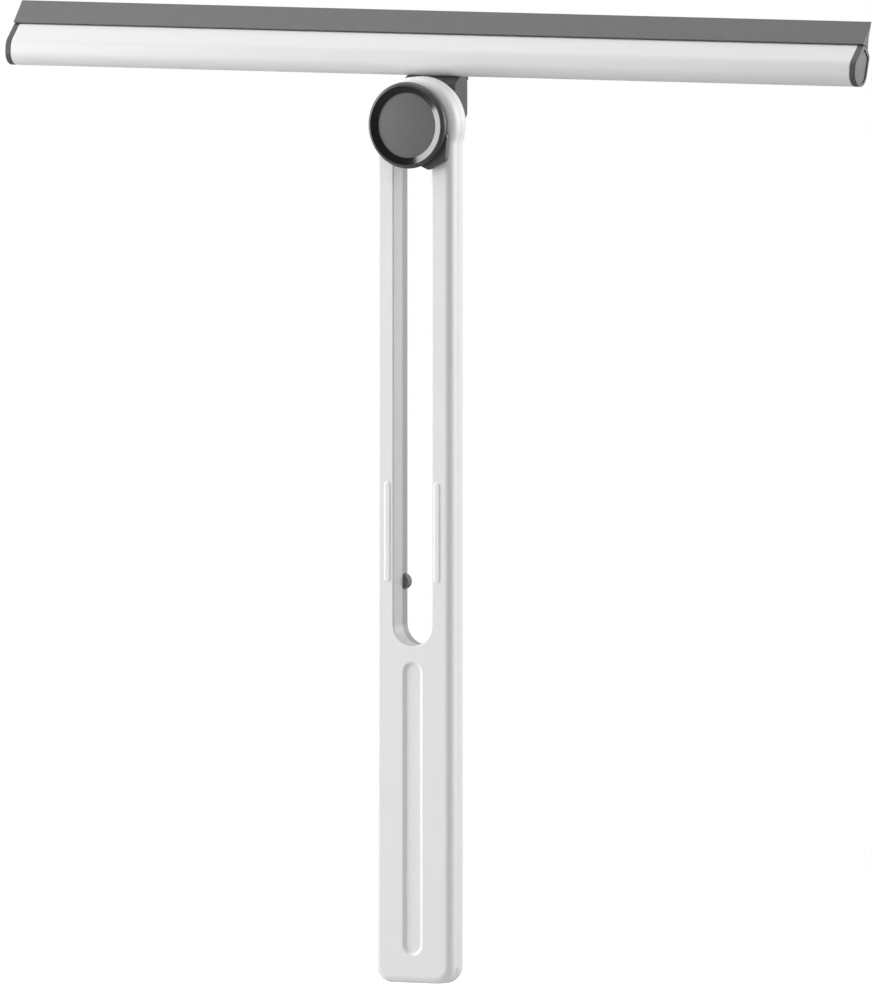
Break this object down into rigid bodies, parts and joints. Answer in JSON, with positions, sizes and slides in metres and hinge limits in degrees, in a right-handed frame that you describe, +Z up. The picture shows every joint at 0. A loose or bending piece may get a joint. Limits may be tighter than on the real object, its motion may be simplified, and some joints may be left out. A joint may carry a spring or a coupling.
{
  "type": "window squeegee",
  "caption": "Window squeegee: a wide rubber-lipped head on a slotted handle, clamped by a knob so that it turns and slides along the slot.",
  "frame": {"origin": "centre of the flat lower end of the handle", "axes": "+Z up the handle towards the head, +X along the head, -Y out of the knob, so the rubber lip leans towards +Y"},
  "size_m": [0.35, 0.0301, 0.3523],
  "materials": {
    "handle_white": "white ABS, satin moulded face",
    "rail_grey": "light grey acetal, low sheen",
    "bumper_rubber": "moulded soft rubber",
    "screw_steel": "stainless self-tapping screws",
    "bolt_steel": "stainless carriage bolt and washers",
    "washer_fibre": "pressed friction washer",
    "knob_grey": "dark grey ABS, moulded satin, with a polished black ring round the disc",
    "insert_brass": "turned brass",
    "disc_grey": "mid grey, faintly radial brushed",
    "bracket_grey": "dark grey glass-filled nylon",
    "profile_aluminium": "silver anodised extrusion, fine lengthwise grain",
    "blade_rubber": "smooth dark grey rubber",
    "cap_grey": "dark grey moulded plastic"
  },
  "bodies": {
    "handle": {"handle_front_shell": "handle_white", "handle_back_shell": "handle_white", "slide_rail": "rail_grey", "stop_bumpers": "bumper_rubber", "shell_screws": "screw_steel"},
    "carriage": {"slide_shoe": "rail_grey", "clamp_bolt": "bolt_steel", "friction_washer": "washer_fibre", "spring_washer": "bolt_steel"},
    "clamp_washer": {"front_washer": "bolt_steel"},
    "knob": {"knob_body": "knob_grey", "knob_insert": "insert_brass", "knob_disc": "disc_grey"},
    "head": {"head_bracket": "bracket_grey", "pivot_bush": "insert_brass", "bracket_screws": "screw_steel", "head_profile": "profile_aluminium", "rubber_blade": "blade_rubber", "end_cap_left": "cap_grey", "end_cap_right": "cap_grey"}
  },
  "joints": [
    {"name": "carriage_slide", "type": "slide", "parent": "handle", "child": "carriage", "axis": [0, 0, -1], "range_m": [0, 0.1543]},
    {"name": "head_pivot", "type": "hinge", "parent": "carriage", "child": "head", "pos_m": [0, 0.0084, 0.312], "axis": [0, 1, 0], "continuous": true},
    {"name": "knob_travel", "type": "slide", "parent": "carriage", "child": "clamp_washer", "axis": [0, -1, 0], "range_m": [0, 0.0005]},
    {"name": "knob_turn", "type": "hinge", "parent": "clamp_washer", "child": "knob", "pos_m": [0, -0.008, 0.312], "axis": [0, -1, 0], "range_deg": [0, 180]}
  ],
  "couplings": [
    {"joint": "knob_travel", "follows": "knob_turn", "m_per_rad": 0.000159}
  ]
}
